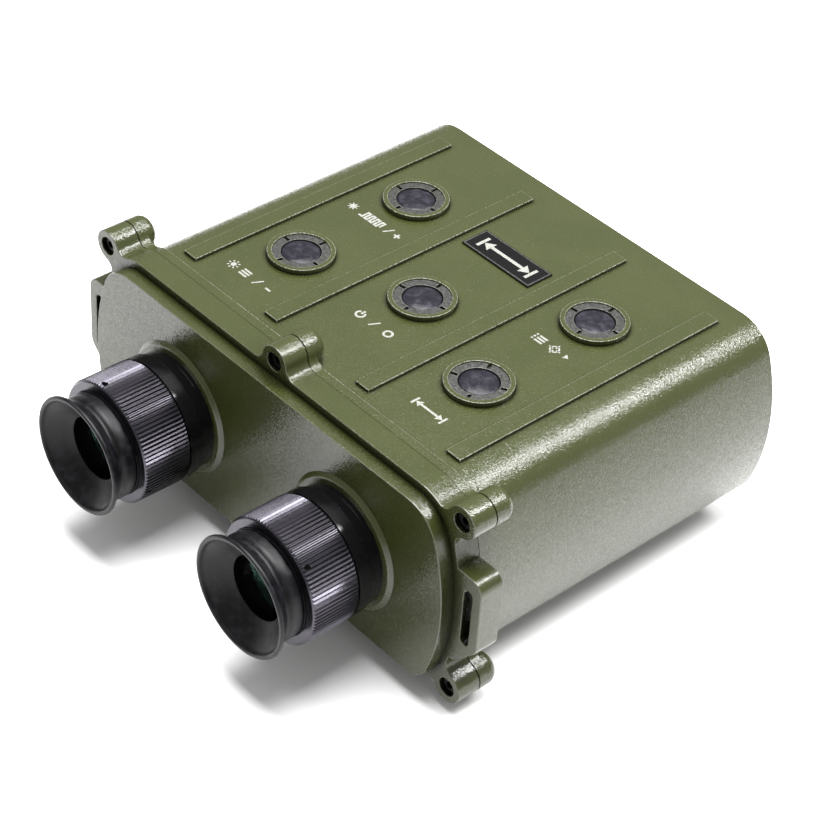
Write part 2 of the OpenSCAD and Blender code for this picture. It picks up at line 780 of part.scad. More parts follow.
collar_y = base_ring_y - 3.8;
ring_back_y = collar_y - 4.2;
ring_front_y = base_ring_y - 22.2;
thread_r = 15.3;
cell_r = 14.25;
lip_y = ring_front_y + 0.9; // inner face of the dioptre ring's front lip
set_screw_y = lip_y + 0.9;
set_screw_r = 0.8;

// Three set screws, as far round as each eyepiece's ring happens to be turned
function set_screw_angles(side) = [for (i = [0:2]) (side == LEFT ? 98 : 46) + 120 * i];

// Fixed black sleeve that carries the dioptre ring outside and the lens cell inside
module eyepiece_mount(side) {
  spigot_y = block_y + 7;
  groove = [lip_y + 0.1, set_screw_y + 0.9];
  groove_r = thread_r - 0.4;
  color(anodised) at_eye(side) turned([
    [cell_r + 0.05, groove[0]], [groove_r, groove[0]], [groove_r, groove[1]],
    [thread_r, groove[1]], [thread_r, ring_back_y + 0.1], [ring_r - 0.1, ring_back_y + 0.1],
    [ring_r - 0.1, collar_y - 0.5], [ring_r - 0.6, collar_y], [ring_r - 1, base_ring_y],
    [mount_bore_r - 0.1, base_ring_y], [mount_bore_r - 0.1, spigot_y], [cell_r + 0.05, spigot_y]
  ]);
}

// Slotted nut that holds the sleeve from inside the cover
module mount_nut(side) {
  y0 = block_y + wall;
  y1 = y0 + 2.7;
  color(steel) at_eye(side) difference() {
    pipe(ring_r + 1, mount_bore_r - 0.05, y0, y1);
    for (a = [0:60:300]) rotate([0, a, 0]) translate([ring_r + 1, y1, 0])
      cube([2.4, 3, 2.5], center = true);
  }
}

// Straight-fluted grip: V-shaped flutes, with small flats on the ridges and in the roots.
// Each corner of a flute is its radius, and its place as a part of the pitch.
module fluted_section() {
  pitch = 360 / flute_count;
  root_r = ring_r - flute_depth;
  flute = [[ring_r, -0.06], [ring_r, 0.06], [root_r, 0.44], [root_r, 0.56]];
  polygon([for (i = [0:flute_count - 1], corner = flute) polar(corner[0], (i + corner[1]) * pitch)]);
}

module diopter_ring(side) {
  bevel = 0.6;
  color(anodised) at_eye(side) difference() {
    intersection() {
      along_y(ring_front_y, ring_back_y) fluted_section();
      turned([
        [0, ring_front_y], [ring_r - bevel, ring_front_y], [ring_r + 0.1, ring_front_y + bevel + 0.1],
        [ring_r + 0.1, ring_back_y - bevel - 0.1], [ring_r - bevel, ring_back_y], [0, ring_back_y]
      ]);
    }
    rod(cell_r + 0.15, ring_front_y - eps, lip_y + eps);
    rod(thread_r + slip, lip_y, ring_back_y + eps);
    for (a = set_screw_angles(side)) rotate([0, -a, 0]) translate([thread_r - eps, set_screw_y, 0])
      rotate([0, 90, 0]) cylinder(r = set_screw_r + 0.05, h = 3);
  }
}

// Headless screws whose tips ride in the sleeve's groove and keep the ring on
module set_screws(side) {
  tip_r = thread_r - 0.3;
  length = 1.3;
  color(steel) at_eye(side) for (a = set_screw_angles(side)) rotate([0, -a, 0])
    translate([tip_r, set_screw_y, 0]) rotate([0, 90, 0]) difference() {
      cylinder(r = set_screw_r, h = length);
      translate([0, 0, length - 0.6]) cylinder(r = 0.42, h = 1, $fn = 6);
    }
}

cell_front_y = ring_front_y - 0.7;
nose_y = cell_front_y - 2.9;
nose_r = 12.6;
eye_seat_y = cell_front_y + 1.6;
field_seat_y = eye_seat_y + 13.5;
cell_back_y = field_seat_y + 10;
eye_lens_r = 9.6;
field_lens_r = 13;

// Sliding cell that carries the eyepiece's lenses; the eyecup grips its nose
module lens_cell(side) {
  color(anodised) at_eye(side) turned([
    [eye_lens_r - 0.9, nose_y], [nose_r, nose_y], [nose_r, cell_front_y], [cell_r, cell_front_y],
    [cell_r, cell_back_y], [field_lens_r + 0.1, cell_back_y], [field_lens_r + 0.1, field_seat_y],
    [eye_lens_r + 0.1, field_seat_y], [eye_lens_r + 0.1, eye_seat_y], [eye_lens_r - 0.9, eye_seat_y]
  ]);
}

module eye_lens(side) {
  color(glass_blue) at_eye(side) lens(eye_lens_r, eye_seat_y, eye_seat_y + 2, 24);
}

module field_lens(side) {
  color(glass_blue) at_eye(side) lens(field_lens_r, field_seat_y, field_seat_y + 2, 32);
}

// Rubber cup: a sleeve on the cell's nose that flares into a round lip
module eyecup(side) {
  back_y = cell_front_y - 0.05;
  lip_end_y = block_y - eyecup_reach;
  sleeve_r = nose_r + 0.02;
  waist_y = back_y - 4.6;
  color(rubber_grey) at_eye(side) turned([
    [sleeve_r, back_y], [cell_r - 0.25, back_y], [cell_r, back_y - 0.6], [cell_r, back_y - 2.4],
    [cell_r - 0.5, waist_y + 1], [cell_r - 0.4, waist_y], [cell_r + 0.6, waist_y - 1.4],
    [eyecup_r - 0.3, lip_end_y + 1.3], [eyecup_r, lip_end_y + 0.6], [eyecup_r - 0.3, lip_end_y + 0.1],
    [eyecup_r - 0.8, lip_end_y], [eyecup_r - 1.3, lip_end_y + 0.4], [eye_lens_r + 0.4, nose_y - 1],
    [eye_lens_r - 0.9, nose_y - 0.05], [sleeve_r, nose_y - 0.05]
  ]);
}

main_housing();
rear_cover();
cover_gasket();
cover_screws();
tripod_insert();
nameplate();
button_front_left();
button_rear_left();
button_centre();
button_front_right();
button_rear_right();
button_rings();
keypad_board();
tact_switches();
main_board();
power_board();
board_screws();
objective_lens(LEFT);  // objective_lens_left
objective_lens(RIGHT);  // objective_lens_right
objective_ring(LEFT);  // objective_ring_left
objective_ring(RIGHT);  // objective_ring_right
telescope_tube(LEFT);  // telescope_tube_left
telescope_tube(RIGHT);  // telescope_tube_right
prism_cradle(LEFT);  // prism_cradle_left
prism_cradle(RIGHT);  // prism_cradle_right
prism(LEFT);  // prism_left
prism(RIGHT);  // prism_right
receiver_module();
display_module();
laser_lens();
laser_ring();
laser_tube();
laser_diode();
battery();
battery_tube();
battery_spring();
battery_contact();
battery_cap();
cap_o_ring();
eyepiece_mount(LEFT);  // eyepiece_mount_left
eyepiece_mount(RIGHT);  // eyepiece_mount_right
mount_nut(LEFT);  // mount_nut_left
mount_nut(RIGHT);  // mount_nut_right
diopter_ring(LEFT);  // diopter_ring_left
diopter_ring(RIGHT);  // diopter_ring_right
set_screws(LEFT);  // set_screws_left
set_screws(RIGHT);  // set_screws_right
lens_cell(LEFT);  // lens_cell_left
lens_cell(RIGHT);  // lens_cell_right
eye_lens(LEFT);  // eye_lens_left
eye_lens(RIGHT);  // eye_lens_right
field_lens(LEFT);  // field_lens_left
field_lens(RIGHT);  // field_lens_right
eyecup(LEFT);  // eyecup_left
eyecup(RIGHT);  // eyecup_right
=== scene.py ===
"""Looks of the binocular laser rangefinder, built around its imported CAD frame.

Lengths are in metres. +Z is up, +Y is the way the rangefinder looks, +X is to its user's right.
"""

import math

import bmesh
import bpy
from mathutils import Matrix, Vector, noise


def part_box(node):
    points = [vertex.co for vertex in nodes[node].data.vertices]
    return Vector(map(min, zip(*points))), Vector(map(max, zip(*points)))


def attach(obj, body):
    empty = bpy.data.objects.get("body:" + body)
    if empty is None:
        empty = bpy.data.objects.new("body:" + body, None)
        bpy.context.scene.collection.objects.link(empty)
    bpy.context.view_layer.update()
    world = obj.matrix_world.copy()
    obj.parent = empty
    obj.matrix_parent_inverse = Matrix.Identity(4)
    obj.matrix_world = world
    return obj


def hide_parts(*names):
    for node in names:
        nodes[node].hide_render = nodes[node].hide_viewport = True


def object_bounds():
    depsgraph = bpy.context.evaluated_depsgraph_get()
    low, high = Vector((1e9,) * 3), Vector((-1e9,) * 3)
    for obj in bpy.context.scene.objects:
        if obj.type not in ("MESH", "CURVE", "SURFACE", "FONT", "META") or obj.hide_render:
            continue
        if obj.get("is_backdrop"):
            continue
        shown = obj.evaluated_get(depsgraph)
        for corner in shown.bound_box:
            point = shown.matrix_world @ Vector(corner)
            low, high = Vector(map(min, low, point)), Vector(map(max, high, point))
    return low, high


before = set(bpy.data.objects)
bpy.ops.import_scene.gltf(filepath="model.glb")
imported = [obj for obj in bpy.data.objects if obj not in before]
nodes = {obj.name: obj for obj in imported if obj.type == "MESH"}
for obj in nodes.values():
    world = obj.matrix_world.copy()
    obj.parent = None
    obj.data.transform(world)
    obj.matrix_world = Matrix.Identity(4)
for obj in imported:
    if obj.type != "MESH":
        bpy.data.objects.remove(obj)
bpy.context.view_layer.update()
MM = 0.001

# ---- Node graphs ----


class Graph:
    """A material's node tree, with short calls for the nodes used here."""

    def __init__(self, name):
        self.material = bpy.data.materials.new(name)
        self.material.use_nodes = True
        self.tree = self.material.node_tree
        self.shader = self.tree.nodes["Principled BSDF"]
        self.place = self.add("ShaderNodeTexCoord").outputs["Object"]

    def add(self, kind, inputs=None, **settings):
        """A new node, with its inputs set to values or linked to sockets."""
        node = self.tree.nodes.new(kind)
        for key, value in settings.items():
            setattr(node, key, value)
        for key, value in (inputs or {}).items():
            self.plug(node.inputs[key], value)
        return node

    def plug(self, socket, value):
        if isinstance(value, bpy.types.NodeSocket):
            self.tree.links.new(value, socket)
        else:
            socket.default_value = value

    def stretched(self, scale):
        """Object coordinates, scaled per axis."""
        return self.add("ShaderNodeMapping", {"Vector": self.place, "Scale": scale}).outputs[0]

    def noise(self, size, detail=3.0, roughness=0.5, place=None):
        """Noise whose lumps are about size metres across."""
        inputs = {"Vector": place or self.place, "Scale": 1 / size, "Detail": detail, "Roughness": roughness}
        return self.add("ShaderNodeTexNoise", inputs).outputs["Fac"]

    def cells(self, size, smoothness=0.6):
        """Rounded cells about size metres across."""
        inputs = {"Vector": self.place, "Scale": 1 / size, "Smoothness": smoothness}
        return self.add("ShaderNodeTexVoronoi", inputs, feature="SMOOTH_F1").outputs["Distance"]

    def mapped(self, value, low, high, to_low=0.0, to_high=1.0):
        inputs = {"Value": value, "From Min": low, "From Max": high, "To Min": to_low, "To Max": to_high}
        return self.add("ShaderNodeMapRange", inputs, interpolation_type="SMOOTHSTEP").outputs[0]

    def math(self, operation, a, b=0.0):
        return self.add("ShaderNodeMath", {0: a, 1: b}, operation=operation).outputs[0]

    def mix(self, factor, a, b, blend="MIX"):
        node = self.add("ShaderNodeMix", data_type="RGBA", blend_type=blend)
        self.plug(node.inputs["Factor"], factor)
        self.plug(node.inputs["A"], a)
        self.plug(node.inputs["B"], b)
        return node.outputs["Result"]

    def bump(self, height, depth, strength=1.0, normal=None):
        """Surface normal from a height of 0 to 1 that stands for depth metres."""
        inputs = {"Height": height, "Distance": depth, "Strength": strength}
        if normal:
            inputs["Normal"] = normal
        return self.add("ShaderNodeBump", inputs).outputs[0]

    def flakes(self, size, tilt):
        """Normal tipped a little at random in each cell, so that some cells catch the light."""
        inputs = {"Vector": self.place, "Scale": 1 / size}
        random = self.add("ShaderNodeTexVoronoi", inputs).outputs["Color"]
        centred = self.add("ShaderNodeVectorMath", {0: random, 1: (0.5, 0.5, 0.5)}, operation="SUBTRACT").outputs[0]
        offset = self.add("ShaderNodeVectorMath", {0: centred, "Scale": tilt}, operation="SCALE").outputs[0]
        normal = self.add("ShaderNodeNewGeometry").outputs["Normal"]
        tipped = self.add("ShaderNodeVectorMath", {0: normal, 1: offset}).outputs[0]
        return self.add("ShaderNodeVectorMath", {0: tipped}, operation="NORMALIZE").outputs[0]

    def edges(self, radius):
        """1 near sharp outer or inner edges, 0 elsewhere."""
        soft = self.add("ShaderNodeBevel", {"Radius": radius}, samples=3).outputs[0]
        true_normal = self.add("ShaderNodeNewGeometry").outputs["Normal"]
        dot = self.add("ShaderNodeVectorMath", {0: soft, 1: true_normal}, operation="DOT_PRODUCT")
        return self.mapped(dot.outputs["Value"], 0.995, 0.9)

    def crevice(self, reach):
        """Ambient-occlusion mask for painted shade: 0 deep in gaps and corners narrower than reach, 1 on open
        faces.
        """
        inputs = {"Distance": reach}
        shade = self.add("ShaderNodeAmbientOcclusion", inputs, samples=4, only_local=True).outputs["AO"]
        return self.mapped(shade, 0.5, 0.9)

    def finish(self, **inputs):
        """Sets the surface shader's inputs and returns the material."""
        for key, value in inputs.items():
            self.plug(self.shader.inputs[key.replace("_", " ").title().replace("Ior", "IOR")], value)
        return self.material


def grey(value):
    return (value, value, value, 1)


# ---- Materials ----


def green_paint(name, grain_depth, flake_tilt, shade_reach, wear_and_highlight=0.0):
    """Semi-gloss olive paint with pale specks painted in as glints and painted shade in its corners; if worn, paler
    in patches, partly metal worn through and partly a painted edge highlight.
    """
    g = Graph(name)
    grain = g.math("ADD", g.cells(0.42 * MM, 0.4), g.noise(0.3 * MM, 3.0, 0.6))
    tone = g.mapped(g.noise(18 * MM, 4.0), 0.35, 0.65)
    base = g.mix(tone, (0.0255, 0.0305, 0.0080, 1), (0.0285, 0.0335, 0.0095, 1))
    # Painted glints: pale specks mixed into the base colour.
    painted_glint_specks = g.mapped(g.noise(0.4 * MM, 2.0), 0.62, 0.72)
    base = g.mix(g.math("MULTIPLY", painted_glint_specks, 0.5), base, (0.06, 0.065, 0.03, 1))
    # Painted shade: ambient occlusion turns the colour nearly black in gaps and corners.
    unshaded_face = g.crevice(shade_reach)
    base = g.mix(unshaded_face, (0.002, 0.0025, 0.001, 1), base)
    if wear_and_highlight:
        # Paler patches, partly paint worn through to the metal and partly a painted highlight on the bevelled edges
        # that this finish is put on.
        rubbed_and_highlit = g.mapped(g.noise(0.5 * MM, 4.0, 0.7), 0.4, 0.58)
        base = g.mix(g.math("MULTIPLY", rubbed_and_highlit, wear_and_highlight), base, (0.17, 0.175, 0.14, 1))
    rough = g.mapped(g.noise(6 * MM, 5.0), 0.3, 0.7, 0.13, 0.19)
    # Painted shade on the reflection: weaker specular in gaps and corners.
    gloss = g.mapped(unshaded_face, 0.0, 1.0, 0.06, 0.5)
    normal = g.bump(grain, grain_depth, normal=g.flakes(0.38 * MM, flake_tilt))
    return g.finish(base_color=base, roughness=rough, normal=normal, specular_ior_level=gloss)


def black_anodised(name, color, metallic, rough):
    """Turned and anodised aluminium, with fine lathe lines round the eyepiece axes."""
    g = Graph(name)
    lines = g.noise(0.06 * MM, 2.0, 0.5, g.stretched((0.03, 1.0, 0.03)))
    dust = g.mapped(g.noise(0.9 * MM, 6.0, 0.7), 0.6, 0.85)
    base = g.mix(g.math("MULTIPLY", dust, 0.3), color, tuple(c + 0.015 for c in color[:3]) + (1,))
    worn = g.math("MULTIPLY", g.edges(0.12 * MM), g.mapped(g.noise(1.2 * MM, 5.0), 0.45, 0.75))
    base = g.mix(g.math("MULTIPLY", worn, 0.5), base, (0.10, 0.10, 0.105, 1))
    roughness = g.mapped(lines, 0.3, 0.7, rough - 0.04, rough + 0.05)
    normal = g.bump(lines, 0.002 * MM)
    return g.finish(
        base_color=base, metallic=metallic, roughness=roughness, normal=normal, specular_ior_level=0.25,
    )


def bare_metal(name, color, rough, wear_color):
    """Plain metal with fine scratches and a duller film."""
    g = Graph(name)
    scratches = g.noise(0.25 * MM, 5.0, 0.7, g.stretched((1.0, 0.12, 1.0)))
    film = g.mapped(g.noise(3 * MM, 5.0), 0.35, 0.65)
    base = g.mix(film, color, wear_color)
    roughness = g.mapped(scratches, 0.3, 0.7, rough - 0.07, rough + 0.1)
    normal = g.bump(scratches, 0.01 * MM)
    return g.finish(base_color=base, metallic=0.9, roughness=roughness, normal=normal)


def ring_metal():
    """Hand-worn grey metal of the button rings, with bright worn rims and painted shade in its hollows."""
    g = Graph("grey_metal_finish")
    worn = g.math("MULTIPLY", g.edges(0.3 * MM), g.mapped(g.noise(0.7 * MM, 5.0, 0.7), 0.35, 0.6))
    grime = g.mapped(g.noise(0.8 * MM, 6.0, 0.7), 0.35, 0.7)
    base = g.mix(grime, (0.038, 0.038, 0.036, 1), (0.075, 0.075, 0.07, 1))
    # Painted shade: nearly black colour in gaps and corners, by ambient occlusion.
    base = g.mix(g.crevice(1.2 * MM), grey(0.01), g.mix(worn, base, (0.2, 0.2, 0.18, 1)))
    rough = g.mapped(grime, 0.0, 1.0, 0.3, 0.45)
    normal = g.bump(g.noise(0.35 * MM, 4.0), 0.02 * MM, normal=g.flakes(0.3 * MM, 0.2))
    return g.finish(base_color=base, metallic=0.6, roughness=rough, normal=normal)


def rubber(name, dark, pale, rough, bloom, shade_reach=2 * MM):
    """Moulded rubber: fine matt skin with pale handling marks, and painted shade inside hollows (darker colour,
    weaker reflection).
    """
    g = Graph(name)
    skin = g.noise(0.16 * MM, 4.0, 0.6)
    marks = g.mapped(g.noise(2.4 * MM, 6.0, 0.65), 0.42, 0.72)
    base = g.mix(g.math("MULTIPLY", marks, bloom), dark, pale)
    roughness = g.mapped(marks, 0.0, 1.0, rough - 0.06, rough + 0.08)
    # Painted shade: nearly black colour and weaker reflection in hollows, by ambient occlusion.
    unshaded_face = g.crevice(shade_reach)
    base = g.mix(unshaded_face, grey(0.0008), base)
    gloss = g.mapped(unshaded_face, 0.0, 1.0, 0.03, 0.2)
    normal = g.bump(skin, 0.02 * MM)
    return g.finish(base_color=base, roughness=roughness, normal=normal, specular_ior_level=gloss)


def coated_glass():
    """Lens glass with a faint green and violet coating."""
    g = Graph("coated_glass_finish")
    facing = g.add("ShaderNodeLayerWeight", {"Blend": 0.5}).outputs["Facing"]
    tint = g.mix(g.mapped(facing, 0.1, 0.8), (0.35, 0.6, 0.5, 1), (0.5, 0.4, 0.7, 1))
    smear = g.mapped(g.noise(6 * MM, 5.0), 0.4, 0.8, 0.0, 0.05)
    return g.finish(
        base_color=(0.45, 0.62, 0.55, 1),
        roughness=smear,
        transmission_weight=1.0,
        ior=1.52,
        specular_tint=tint,
        specular_ior_level=0.25,
    )


def circuit_board():
    """Solder mask with copper tracks showing through."""
    g = Graph("circuit_board_finish")
    tracks = g.add("ShaderNodeTexBrick", {
        "Vector": g.stretched((420, 420, 420)), "Scale": 1.0, "Mortar Size": 0.08,
    }).outputs["Fac"]
    cloud = g.mapped(g.noise(5 * MM, 3.0), 0.4, 0.6)
    mask = g.mix(cloud, (0.01, 0.10, 0.045, 1), (0.015, 0.14, 0.06, 1))
    base = g.mix(g.math("MULTIPLY", tracks, 0.6), mask, (0.06, 0.30, 0.12, 1))
    return g.finish(base_color=base, roughness=0.35, normal=g.bump(tracks, 0.03 * MM))


def plastic(name, color, rough, gloss=0.5):
    """Moulded plastic with a fine spark-eroded texture."""
    g = Graph(name)
    texture = g.noise(0.2 * MM, 3.0, 0.6)
    cloud = g.mapped(g.noise(7 * MM, 3.0), 0.3, 0.7)
    base = g.mix(cloud, color, tuple(1.25 * c for c in color[:3]) + (1,))
    roughness = g.mapped(texture, 0.3, 0.7, rough - 0.05, rough + 0.08)
    normal = g.bump(texture, 0.015 * MM)
    return g.finish(base_color=base, roughness=roughness, normal=normal, specular_ior_level=gloss)


def white_ink():
    """Screen-printed ink, a little thin in places."""
    g = Graph("white_ink_finish")
    thin = g.mapped(g.noise(0.35 * MM, 4.0, 0.6), 0.35, 0.6)
    base = g.mix(thin, (0.12, 0.125, 0.1, 1), (0.24, 0.24, 0.225, 1))
    return g.finish(base_color=base, roughness=0.45, normal=g.bump(thin, 0.01 * MM))


def pale_floor():
    g = Graph("pale_floor_finish")
    cloud = g.mapped(g.noise(120 * MM, 3.0), 0.3, 0.7)
    base = g.mix(cloud, grey(0.84), grey(0.86))
    normal = g.bump(g.noise(1.5 * MM), 0.01 * MM)
    return g.finish(base_color=base, roughness=0.6, normal=normal)


SLOT_FINISHES = {
    "green_paint": green_paint("green_paint_finish", 0.045 * MM, 0.14, 1.4 * MM),
    "black_anodised": black_anodised("black_anodised_finish", (0.002, 0.002, 0.0024, 1), 0.0, 0.13),
    "machined_aluminium": bare_metal("aluminium_finish", grey(0.62), 0.3, grey(0.5)),
    "grey_metal": ring_metal(),
    "black_steel": bare_metal("black_steel_finish", grey(0.006), 0.28, grey(0.014)),
    "plain_steel": bare_metal("plain_steel_finish", grey(0.5), 0.28, (0.42, 0.41, 0.39, 1)),
    "brass": bare_metal("brass_finish", (0.68, 0.48, 0.19, 1), 0.26, (0.55, 0.38, 0.15, 1)),
    "button_rubber": rubber("button_rubber_finish", (0.007, 0.0063, 0.0095, 1), (0.03, 0.028, 0.038, 1), 0.34, 0.7),
    # The eyecups' painted shade reaches 24 mm, deep into each cup.
    "eyecup_rubber": rubber(
        "eyecup_rubber_finish", (0.0012, 0.0012, 0.0017, 1), (0.011, 0.011, 0.0145, 1), 0.44, 0.8, 24 * MM,
    ),
    "seal_rubber": rubber("seal_rubber_finish", (0.004, 0.004, 0.004, 1), (0.012, 0.012, 0.012, 1), 0.5, 0.5),
    "black_plate": plastic("black_plate_finish", (0.002, 0.002, 0.0022, 1), 0.4, 0.12),
    "coated_glass": coated_glass(),
    "circuit_board": circuit_board(),
    "black_plastic": plastic("black_plastic_finish", (0.015, 0.015, 0.016, 1), 0.4),
    "battery_wrap": plastic("battery_wrap_finish", (0.03, 0.08, 0.22, 1), 0.3),
}


GRIP_FINISH = black_anodised("grip_anodised_finish", (0.056, 0.053, 0.063, 1), 0.95, 0.2)
# The cover's painted shade reaches 9 mm out from its corners.
COVER_FINISH = green_paint("cover_paint_finish", 0.03 * MM, 0.1, 9 * MM)
# Paler finishes for the bevelled edges of housing and cover: partly worn paint, partly painted highlight.
WORN_AND_HIGHLIT_EDGE_FINISHES = {
    "main_housing": green_paint("housing_edge_finish", 0.045 * MM, 0.14, 1.4 * MM, 0.85),
    "rear_cover": green_paint("cover_edge_finish", 0.03 * MM, 0.1, 9 * MM, 0.12),
}
NODE_FINISHES = {
    "diopter_ring_left": GRIP_FINISH, "diopter_ring_right": GRIP_FINISH, "rear_cover": COVER_FINISH,
}


def dress(obj):
    """Puts its own finish, or that of each material slot, on a CAD node."""
    for slot in obj.material_slots:
        slot.material = NODE_FINISHES.get(obj.name) or SLOT_FINISHES[slot.material.name.split(".")[0]]


# ---- Edges of the CAD nodes ----


def smooth_by_angle(limit):
    """Node group that shades a mesh smooth except along edges sharper than limit."""
    group = bpy.data.node_groups.new("smooth_by_angle", "GeometryNodeTree")
    group.interface.new_socket("Geometry", in_out="INPUT", socket_type="NodeSocketGeometry")
    group.interface.new_socket("Geometry", in_out="OUTPUT", socket_type="NodeSocketGeometry")
    add = group.nodes.new
    link = group.links.new
    start = add("NodeGroupInput")
    end = add("NodeGroupOutput")
    faces = add("GeometryNodeSetShadeSmooth")
    faces.domain = "FACE"
    edges = add("GeometryNodeSetShadeSmooth")
    edges.domain = "EDGE"
    angle = add("GeometryNodeInputMeshEdgeAngle")
    soft = add("FunctionNodeCompare")
    soft.operation = "LESS_EQUAL"
    soft.inputs["B"].default_value = limit
    link(start.outputs[0], faces.inputs["Geometry"])
    link(faces.outputs[0], edges.inputs["Geometry"])
    link(angle.outputs["Unsigned Angle"], soft.inputs["A"])
    link(soft.outputs[0], edges.inputs["Shade Smooth"])
    link(edges.outputs[0], end.inputs[0])
    return group


SMOOTH = smooth_by_angle(math.radians(31))


def marked_edges(name, chosen_by):
    """Node group that weights, for a bevel, the sharp outer edges that a rule chooses by place."""
    group = bpy.data.node_groups.new(name, "GeometryNodeTree")
    group.interface.new_socket("Geometry", in_out="INPUT", socket_type="NodeSocketGeometry")
    group.interface.new_socket("Geometry", in_out="OUTPUT", socket_type="NodeSocketGeometry")
    add = group.nodes.new
    link = group.links.new

    def compare(value, operation, bound):
        node = add("FunctionNodeCompare")
        node.operation = operation
        link(value, node.inputs["A"])
        node.inputs["B"].default_value = bound
        return node.outputs[0]

    def combine(operation, a, b):
        node = add("FunctionNodeBooleanMath")
        node.operation = operation
        link(a, node.inputs[0])
        link(b, node.inputs[1])
        return node.outputs[0]

    start = add("NodeGroupInput")
    end = add("NodeGroupOutput")
    place = add("ShaderNodeSeparateXYZ")
    link(add("GeometryNodeInputPosition").outputs[0], place.inputs[0])
    off_centre = add("ShaderNodeMath")
    off_centre.operation = "ABSOLUTE"
    link(place.outputs["X"], off_centre.inputs[0])
    angle = add("GeometryNodeInputMeshEdgeAngle").outputs["Signed Angle"]
    sharp = compare(angle, "GREATER_THAN", math.radians(31))
    chosen = combine("AND", sharp, chosen_by(compare, combine, off_centre.outputs[0], place.outputs["Y"]))
    store = add("GeometryNodeStoreNamedAttribute")
    store.data_type = "FLOAT"
    store.domain = "EDGE"
    store.inputs["Name"].default_value = "bevel_weight_edge"
    link(start.outputs[0], store.inputs["Geometry"])
    link(chosen, store.inputs["Value"])
    link(store.outputs[0], end.inputs[0])
    return group


JOINT_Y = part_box("main_housing")[0].y


def off_housing_lugs(compare, combine, off_centre, y):
    """Edges in front of the screw lugs, and those between them."""
    between_lugs = combine(
        "AND", compare(off_centre, "GREATER_THAN", 9 * MM), compare(off_centre, "LESS_THAN", 60 * MM),
    )
    off_joint = compare(y, "GREATER_THAN", JOINT_Y + 0.5 * MM)
    past_lugs = compare(y, "GREATER_THAN", JOINT_Y + 6.4 * MM)
    return combine("OR", past_lugs, combine("AND", between_lugs, off_joint))


def off_groove(compare, combine, off_centre, y):
    """Edges clear of the groove along the joint."""
    return compare(y, "LESS_THAN", JOINT_Y - 0.6 * MM)


EDGE_RULES = {"main_housing": off_housing_lugs, "rear_cover": off_groove}


def soften(obj, width, segments=2):
    """Joins a CAD mesh's split vertices, merges its flat facets, and rounds its sharp edges; on the housing and
    cover the rounds get a paler finish, partly worn paint and partly painted highlight.
    """
    weld = obj.modifiers.new("weld", "WELD")
    weld.merge_threshold = 0.0005 * MM
    flat = obj.modifiers.new("flat", "DECIMATE")
    flat.decimate_type = "DISSOLVE"
    flat.angle_limit = math.radians(0.5)
    rule = EDGE_RULES.get(obj.name)
    if rule:
        obj.modifiers.new("marks", "NODES").node_group = marked_edges(rule.__name__, rule)
    if width:
        bevel = obj.modifiers.new("bevel", "BEVEL")
        bevel.width = width
        bevel.segments = segments
        bevel.limit_method = "WEIGHT" if rule else "ANGLE"
        bevel.angle_limit = math.radians(31)
        bevel.use_clamp_overlap = False
        if rule:
            obj.data.materials.append(WORN_AND_HIGHLIT_EDGE_FINISHES[obj.name])
            bevel.material = len(obj.data.materials) - 1
    smooth = obj.modifiers.new("smooth", "NODES")
    smooth.node_group = SMOOTH
    normals = obj.modifiers.new("normals", "WEIGHTED_NORMAL")
    normals.keep_sharp = True


EDGE_WIDTHS = {
    "main_housing": 0.2, "rear_cover": 0.3, "cover_screws": 0.1, "nameplate": 0.12,
    "button_rings": 0.12, "battery_cap": 0.15, "tripod_insert": 0.15,
}
for name, obj in nodes.items():
    dress(obj)
    soften(obj, EDGE_WIDTHS.get(name, 0) * MM)

# ---- Mesh pieces ----


def piece(name, mesh, finish, body):
    """Links a mesh as a piece that rides on a CAD body."""
    obj = bpy.data.objects.new(name, mesh)
    mesh.materials.append(SLOT_FINISHES.get(finish) or finish)
    bpy.context.scene.collection.objects.link(obj)
    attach(obj, body)
    return obj


def shaded(obj):
    """Smooths a piece's shading, apart from its sharp edges."""
    obj.modifiers.new("smooth", "NODES").node_group = SMOOTH
    return obj


def rounded(corners, steps=5):
    """Outline with each corner (x, y, radius) rounded off; a radius of 0 stays sharp."""
    points = []
    count = len(corners)
    for i, (x, y, radius) in enumerate(corners):
        here = Vector((x, y))
        if radius == 0:
            points.append(here)
            continue
        before = Vector(corners[i - 1][:2]) - here
        after = Vector(corners[(i + 1) % count][:2]) - here
        reach = min(radius, before.length * 0.49, after.length * 0.49)
        start = here + before.normalized() * reach
        end = here + after.normalized() * reach
        for k in range(steps + 1):
            t = k / steps
            points.append((1 - t) ** 2 * start + 2 * t * (1 - t) * here + t * t * end)
    return points


def turned(name, outline, centre, along, steps=144, lumps=0.0, lump_size=1.0):
    """Closed mesh of revolution about an axis. The outline holds (radius, distance along) pairs."""
    along = Vector(along)
    side = along.orthogonal().normalized()
    mesh = bpy.data.meshes.new(name)
    bm = bmesh.new()
    rings = []
    for radius, distance in outline:
        if radius < 1e-9:
            rings.append([bm.verts.new(centre + along * distance)])
            continue
        ring = []
        for k in range(steps):
            out = Matrix.Rotation(math.tau * k / steps, 3, along) @ side
            point = centre + along * distance + out * radius
            if lumps:
                point += out.lerp(along, 0.7) * lumps * noise.noise(point / lump_size)
            ring.append(bm.verts.new(point))
        rings.append(ring)
    on_axis = len(rings[0]) == 1
    pairs = list(zip(rings, rings[1:])) if on_axis else list(zip(rings, rings[1:] + rings[:1]))
    for a, b in pairs:
        for k in range(steps):
            n = (k + 1) % steps
            corners = [a[k % len(a)], a[n % len(a)], b[n % len(b)], b[k % len(b)]]
            bm.faces.new(list(dict.fromkeys(corners)))
    bmesh.ops.recalc_face_normals(bm, faces=bm.faces)
    bm.to_mesh(mesh)
    bm.free()
    return mesh


def middle_of(node):
    low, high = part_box(node)
    return (low + high) / 2


# ---- Rubber ----


